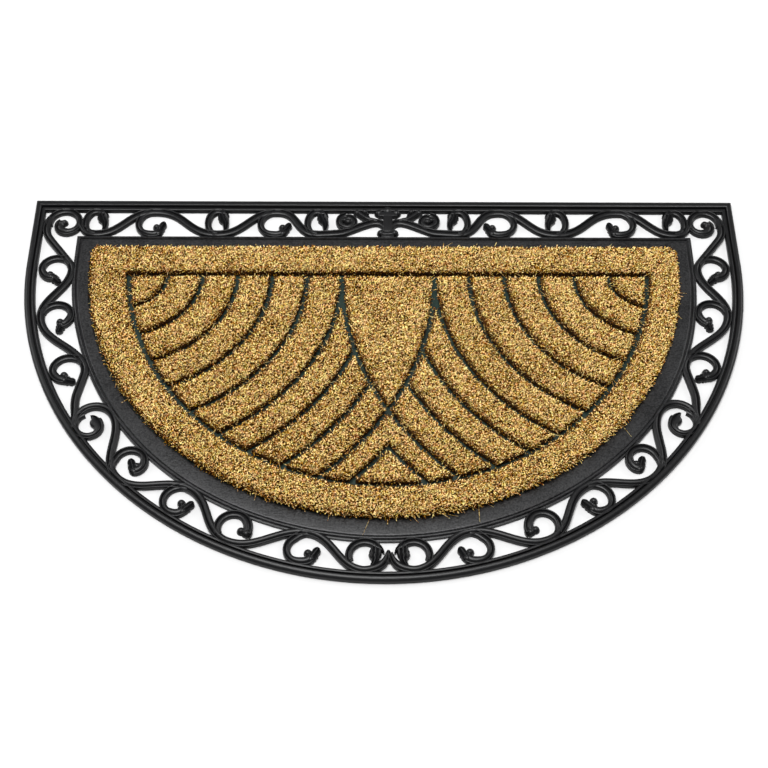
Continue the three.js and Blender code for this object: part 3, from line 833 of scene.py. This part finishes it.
class DOORMAT_OT_scrolls(bpy.types.Operator):
    """Openwork of stems, curls, buds and leaves between the rail and the flange"""
    bl_idname = "doormat.scrolls"
    bl_label = "Make scroll work"

    def execute(self, context):
        rubber = context.scene.doormat_rubber
        material = bpy.data.materials["Moulded black rubber"]
        height, stem, curl = (v / MM for v in (rubber.scroll_height, rubber.stem_width, rubber.curl_width))
        bud = rubber.bud_radius / MM
        parts = []
        for hand in (1, -1):
            for stops in STEMS:
                parts.append(ribbon(stem_line(stops, stem), height, hand, beaded=-1))
            for name, row in CURLS.items():
                line = curl_line(name, curl)
                parts.append(ribbon(line, height - 0.1, hand, beaded=-1 if row["sweep"] > 0 else 1))
                if "tuck" in row:
                    leaf = drooping_leaf(name, curl + row["swell"] - 1.0)
                    parts.append(ribbon(leaf, height + 0.2, hand, profile=LEAF_SECTION))
                tip = TIPS.get(name)
                if tip is None:
                    continue
                centre = from_back(row["x"], row["down"])
                place = around(centre, *tip["bud"])
                parts.append(dome(place, bud, height + 0.3, hand))
                root = line[-1][0]
                parts.append(dome(root, line[-1][1] / 2, height - 0.1, hand))
                if "leaf" in tip:
                    point = around(centre, *tip["leaf"])
                    parts.append(ribbon(leaf_line(root, place, bud), height - 0.4, hand, profile=LEAF_SECTION))
                    parts.append(ribbon(leaf_line(root, point, 5.0), height, hand, profile=LEAF_SECTION))
            arm = [from_back(*place) for place in ARM]
            parts.append(ribbon([(p, 7.0) for p in spaced(arm, 2.0)], height, hand))
            parts.append(dome(arm[-1], 4.3, height + 0.5, hand))
            root, point = (from_back(*place) for place in ARM_BUD)
            parts.append(ribbon(leaf_line(root, point, 3.4), height - 0.1, hand, profile=LEAF_SECTION))
            parts.append(dome(root.lerp(point, 0.85), 4.2, height + 0.5, hand))
        peak = [from_back(0, down) for down in (448, 435)]
        parts.append(ribbon(leaf_line(*peak, 3.2), height, 1, profile=LEAF_SECTION))
        piece = finish_mesh(joined(parts), "rubber_scrolls", material, smooth_angle=50.0)
        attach(piece, "root")
        return {"FINISHED"}


class DOORMAT_OT_ornament(bpy.types.Operator):
    """Ornament in the middle of the straight edge"""
    bl_idname = "doormat.ornament"
    bl_label = "Make middle ornament"

    def execute(self, context):
        material = bpy.data.materials["Moulded black rubber"]
        blocks = [(10.5, 15, 22, 5.4), (5.2, 20, 44, 5.5), (9, 42.5, 47, 4.6), (7, 45.5, 51, 4.2)]
        parts = []
        for half, start, end, top in blocks:
            bm = bmesh.new()
            place = Matrix.Translation(Vector((SHIFT, BACK - (start + end) / 2, top / 2 + BASE)) * MM)
            size = Matrix.Diagonal((2 * half * MM, (end - start) * MM, top * MM, 1.0))
            bmesh.ops.create_cube(bm, size=1.0, matrix=place @ size)
            rims = [e for e in bm.edges if all(v.co.z > top / 2 * MM for v in e.verts)]
            bmesh.ops.bevel(bm, geom=rims, offset=1.5 * MM, offset_type="OFFSET", affect="EDGES", segments=3,
                            profile=0.5, material=-1)
            parts.append(bm)
        parts.append(dome(from_back(0, 12.5), 6.6, 6.8, 1))
        for side in (-1, 1):
            parts.append(dome(from_back(side * 9.5, 15.5), 5.2, 6.2, 1))
            parts.append(dome(from_back(side * 7.5, 43.5), 4.4, 5.8, 1))
        piece = finish_mesh(joined(parts), "rubber_ornament", material)
        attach(piece, "root")
        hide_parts("rubber_frame")
        return {"FINISHED"}


class DOORMAT_OT_coir(bpy.types.Operator):
    """Coir pads, and the cut fibres that stand on them"""
    bl_idname = "doormat.coir"
    bl_label = "Make coir pile"

    def execute(self, context):
        coir = context.scene.doormat_coir
        pad_finish = coir_pad(coir)
        fibre_finish = coir_fibre(coir)
        sides = {side: [f"coir_{side}_{i}" for i in range(1, 10)] for side in ("left", "right")}
        middle = ["coir_petal", "coir_chevron", "coir_foot"]
        fields = {
            "fibres_border_left": (["coir_border"], -1),
            "fibres_border_right": (["coir_border"], 1),
            "fibres_left_inner": (sides["left"][:6], None),
            "fibres_left_outer": (sides["left"][6:], None),
            "fibres_right_inner": (sides["right"][:6], None),
            "fibres_right_outer": (sides["right"][6:], None),
            "fibres_middle": (middle, None),
        }
        made = {}
        for seed, (name, (nodes, keep)) in enumerate(fields.items()):
            piece = fibre_field(name, nodes, fibre_finish, coir, 20 + seed, keep)
            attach(piece, "root")
            made[name] = (piece, nodes)
        for node in ["coir_border"] + sides["left"] + sides["right"] + middle:
            pad = self.pad(node, pad_finish, coir)
            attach(pad, "root")
            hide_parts(node)
            fibres = [piece for piece, nodes in made.values() if node in nodes]
            flat_size(node)
            top_area(node)
        return {"FINISHED"}

    def pad(self, node, material, coir):
        """The solid depth of one pad: the node's own outline, lowered below the fibre tips and eased at its rim."""
        bm = bmesh.new()
        bm.from_mesh(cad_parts[node].data)
        bmesh.ops.remove_doubles(bm, verts=bm.verts, dist=0.00002)
        bmesh.ops.dissolve_limit(bm, angle_limit=math.radians(1.0), verts=bm.verts, edges=bm.edges)
        for vert in bm.verts:
            if vert.co.z > PILE_TOP * MM / 2:
                vert.co.z = coir.pad_top
        rims = [e for e in bm.edges if all(v.co.z > PILE_TOP * MM / 2 for v in e.verts)]
        bmesh.ops.bevel(bm, geom=rims, offset=0.8 * MM, offset_type="OFFSET", affect="EDGES", segments=2,
                        profile=0.5, material=-1, clamp_overlap=True)
        return finish_mesh(bm, f"pad_{node}", material)


class DOORMAT_OT_stage(bpy.types.Operator):
    """Pale floor, soft light and the camera"""
    bl_idname = "doormat.stage"
    bl_label = "Make stage"

    def execute(self, context):
        stage = context.scene.doormat_stage
        bm = bmesh.new()
        bmesh.ops.create_grid(bm, x_segments=1, y_segments=1, size=4.0)
        material, tree, shader = new_material("Plain white floor")
        shader.inputs["Base Color"].default_value = (FLOOR_GREY, FLOOR_GREY, FLOOR_GREY, 1.0)
        shader.inputs["Roughness"].default_value = 0.9
        shader.inputs["Specular IOR Level"].default_value = 0.1
        mesh = bpy.data.meshes.new("floor")
        bm.to_mesh(mesh)
        bm.free()
        mesh.materials.append(material)
        floor = bpy.data.objects.new("floor", mesh)
        context.scene.collection.objects.link(floor)

        world = bpy.data.worlds.new("White room")
        world.use_nodes = True
        room = world.node_tree
        background = room.nodes["Background"]
        background.inputs["Color"].default_value = (1.0, 1.0, 1.0, 1.0)
        place = add_node(room, "ShaderNodeTexCoord").outputs["Generated"]
        up = add_node(room, "ShaderNodeSeparateXYZ", {"Vector": place})
        glow = add_node(room, "ShaderNodeMapRange", {"Value": up.outputs["Z"], "From Min": 0.15, "From Max": 0.55,
                                                     "To Min": 0.55 * stage.world_light, "To Max": stage.world_light})
        room.links.new(glow.outputs["Result"], background.inputs["Strength"])
        context.scene.world = world

        for name, place, wide, power in (("soft top light", (-0.3, 0.1, 3.4), 2.2, stage.top_light),
                                         ("soft left light", (-2.3, 1.2, 1.5), 1.3, stage.side_light),
                                         ("soft right light", (2.3, 1.2, 1.5), 1.3, stage.side_light)):
            lamp = bpy.data.lights.new(name, "AREA")
            lamp.shape = "DISK"
            lamp.size = wide
            lamp.energy = power
            lit = bpy.data.objects.new(name, lamp)
            lit.location = place
            lit.rotation_euler = (Vector((0, 0, 0)) - lit.location).to_track_quat("-Z", "Y").to_euler()
            context.scene.collection.objects.link(lit)

        eye = bpy.data.cameras.new("camera")
        eye.sensor_width = 36.0
        eye.lens = stage.lens
        eye.shift_x = -0.00017
        eye.shift_y = -0.0064
        eye.clip_start = 0.05
        camera = bpy.data.objects.new("camera", eye)
        target = Vector((0.0, -0.0005, 0.0))
        pose = Matrix.Rotation(stage.turn, 4, "Z") @ Matrix.Rotation(math.pi / 2 - stage.elevation, 4, "X")
        away = pose @ Vector((0.0, 0.0, stage.distance))
        camera.matrix_world = Matrix.Translation(target + away) @ pose @ Matrix.Rotation(stage.roll, 4, "Z")
        context.scene.collection.objects.link(camera)
        context.scene.camera = camera
        context.scene.view_settings.view_transform = "Standard"
        return {"FINISHED"}


class DOORMAT_PT_panel(bpy.types.Panel):
    """Sizes, colours and steps of the half round doormat"""
    bl_idname = "DOORMAT_PT_panel"
    bl_label = "Half round doormat"
    bl_space_type = "VIEW_3D"
    bl_region_type = "UI"
    bl_category = "Doormat"

    def draw(self, context):
        for group in ("doormat_rubber", "doormat_coir", "doormat_stage"):
            settings = getattr(context.scene, group)
            box = self.layout.box()
            for name in type(settings).__annotations__:
                box.prop(settings, name)
        for operator in OPERATORS:
            self.layout.operator(operator.bl_idname)


GROUPS = {"doormat_rubber": DoormatRubber, "doormat_coir": DoormatCoir, "doormat_stage": DoormatStage}
OPERATORS = [DOORMAT_OT_stage, DOORMAT_OT_rail, DOORMAT_OT_tray, DOORMAT_OT_scrolls, DOORMAT_OT_ornament,
             DOORMAT_OT_coir]


def register():
    for name, group in GROUPS.items():
        bpy.utils.register_class(group)
        setattr(bpy.types.Scene, name, bpy.props.PointerProperty(type=group))
    for made in OPERATORS + [DOORMAT_PT_panel]:
        bpy.utils.register_class(made)


def unregister():
    for made in reversed(OPERATORS + [DOORMAT_PT_panel]):
        bpy.utils.unregister_class(made)
    for name, group in reversed(GROUPS.items()):
        delattr(bpy.types.Scene, name)
        bpy.utils.unregister_class(group)


def main():
    register()
    for operator in OPERATORS:
        group, name = operator.bl_idname.split(".")
        getattr(getattr(bpy.ops, group), name)()


if __name__ == "__main__":
    main()
